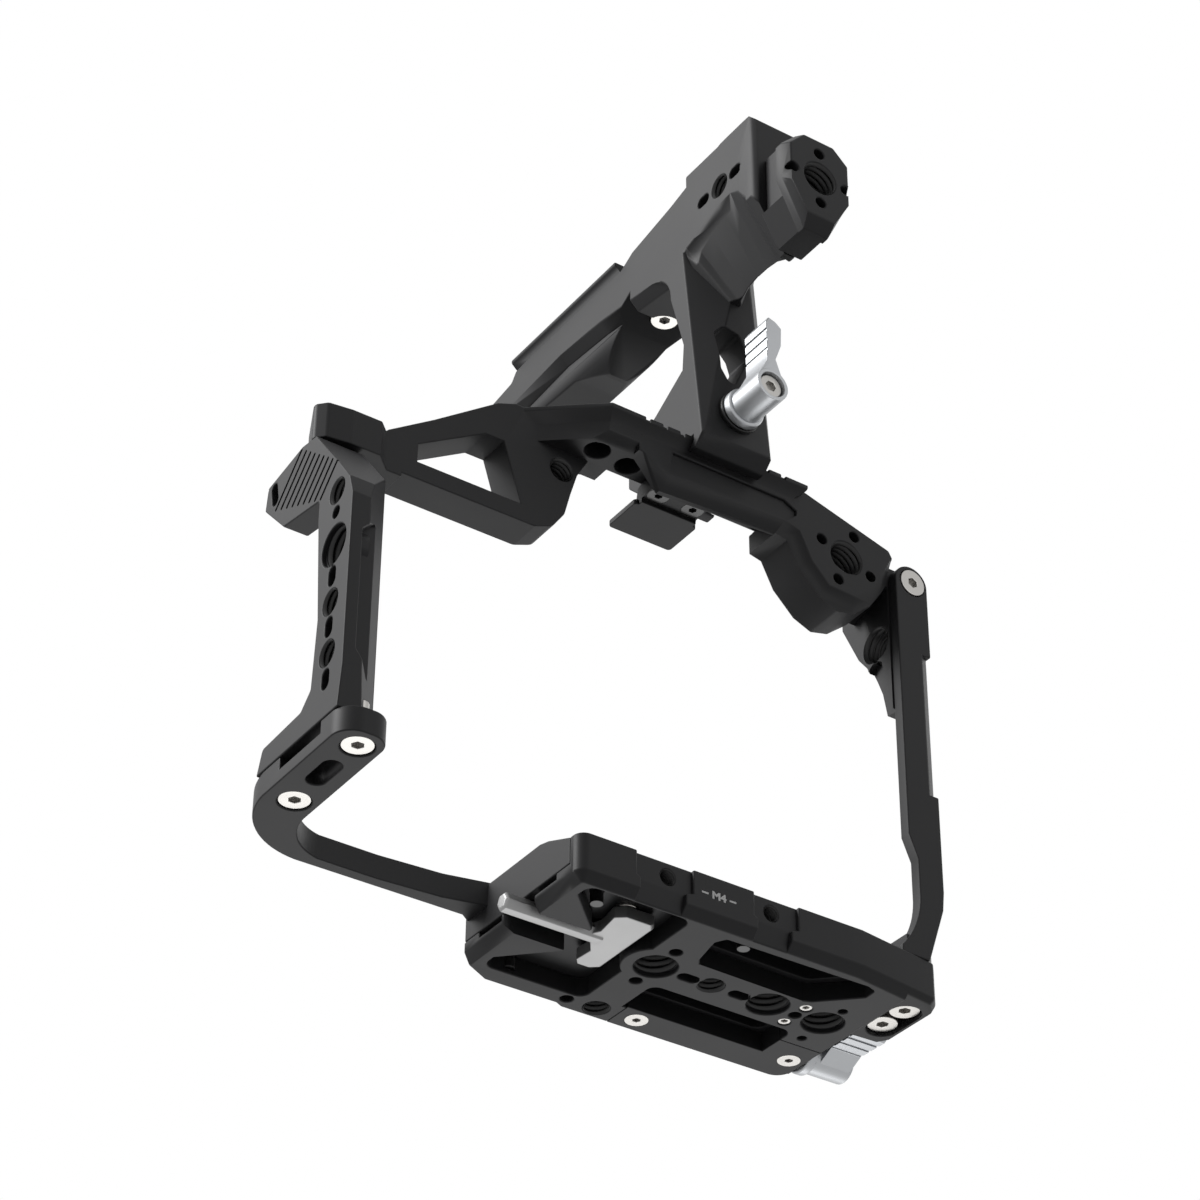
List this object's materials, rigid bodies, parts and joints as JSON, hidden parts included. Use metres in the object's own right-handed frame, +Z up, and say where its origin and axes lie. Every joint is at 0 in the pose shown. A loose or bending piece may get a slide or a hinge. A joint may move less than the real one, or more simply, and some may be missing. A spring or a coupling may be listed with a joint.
{
  "type": "camera cage",
  "caption": "Black metal camera cage with threaded accessory holes, stowed hex key, lever cable clamp and a top handle that locks to its rail with a lever.",
  "frame": {"origin": "mouth of the central 1/4-20 tripod hole, in the plane of the base plate's underside", "axes": "+Z up, -Y the way the lens looks, -X the camera's grip side"},
  "size_m": [0.1715, 0.1377, 0.2173],
  "materials": {
    "black_anodised": "matte black anodised, fine bead blast",
    "silver_anodised": "satin silver",
    "steel": "bright stainless, turned",
    "black_steel": "black oxide",
    "rubber": "matte, fine ribs",
    "magnet": "nickel plated"
  },
  "bodies": {
    "cage": {"base_plate": "black_anodised", "rear_strip": "black_anodised", "rear_strip_screws": "steel", "base_set_screws": "steel", "cage_frame": "black_anodised", "platform_screws": "black_steel", "platform_pad": "rubber", "screw_retainer": "black_steel", "key_magnets": "magnet", "side_bar": "black_anodised", "side_bar_foot_screws": "steel", "side_bar_top_screw": "steel", "grip_plate": "black_anodised", "grip_arm_screws": "steel", "grip_top_screws": "black_steel", "top_frame": "black_anodised", "hot_shoe_foot": "black_anodised", "hot_shoe_screws": "black_steel"},
    "camera_screw": {"camera_screw": "steel"},
    "hex_key": {"hex_key": "silver_anodised"},
    "cable_clamp": {"cable_clamp": "black_anodised"},
    "side_lever": {"side_lever": "silver_anodised", "side_lever_stud": "steel", "side_lever_screw": "steel"},
    "handle": {"handle_body": "black_anodised", "handle_screw": "steel", "front_block": "black_anodised", "front_block_screw": "black_steel", "clamp_washer": "black_steel", "clamp_spring": "steel"},
    "clamp_lever": {"clamp_lever": "silver_anodised", "clamp_stud": "steel", "clamp_lever_screw": "steel"},
    "clamp_jaw": {"clamp_jaw": "black_anodised", "clamp_guide_pins": "steel"}
  },
  "joints": [
    {"name": "handle_slide", "type": "slide", "parent": "cage", "child": "handle", "axis": [1, 0, 0], "range_m": [-0.015, 0.01]},
    {"name": "clamp_lever_turn", "type": "hinge", "parent": "handle", "child": "clamp_lever", "pos_m": [-0.01, -0.0294, 0.1409], "axis": [0, -1, 0], "range_deg": [0, 900]},
    {"name": "clamp_jaw_slide", "type": "slide", "parent": "handle", "child": "clamp_jaw", "axis": [0, 1, 0], "range_m": [0, 0.0025]},
    {"name": "side_lever_turn", "type": "hinge", "parent": "cage", "child": "side_lever", "pos_m": [0.0438, 0.0231, 0.0057], "axis": [1, 0, 0], "range_deg": [0, 450]},
    {"name": "cable_clamp_slide", "type": "slide", "parent": "cage", "child": "cable_clamp", "axis": [0, 0, 1], "range_m": [0, 0.012]},
    {"name": "key_slide", "type": "slide", "parent": "cage", "child": "hex_key", "axis": [0, 0, -1], "range_m": [0, 0.012]},
    {"name": "camera_screw_turn", "type": "hinge", "parent": "cage", "child": "camera_screw", "pos_m": [-0.0287, 0, 0.01], "axis": [0, 0, 1], "continuous": true}
  ],
  "couplings": [
    {"joint": "clamp_jaw_slide", "follows": "clamp_lever_turn", "m_per_rad": 0.00015915}
  ]
}
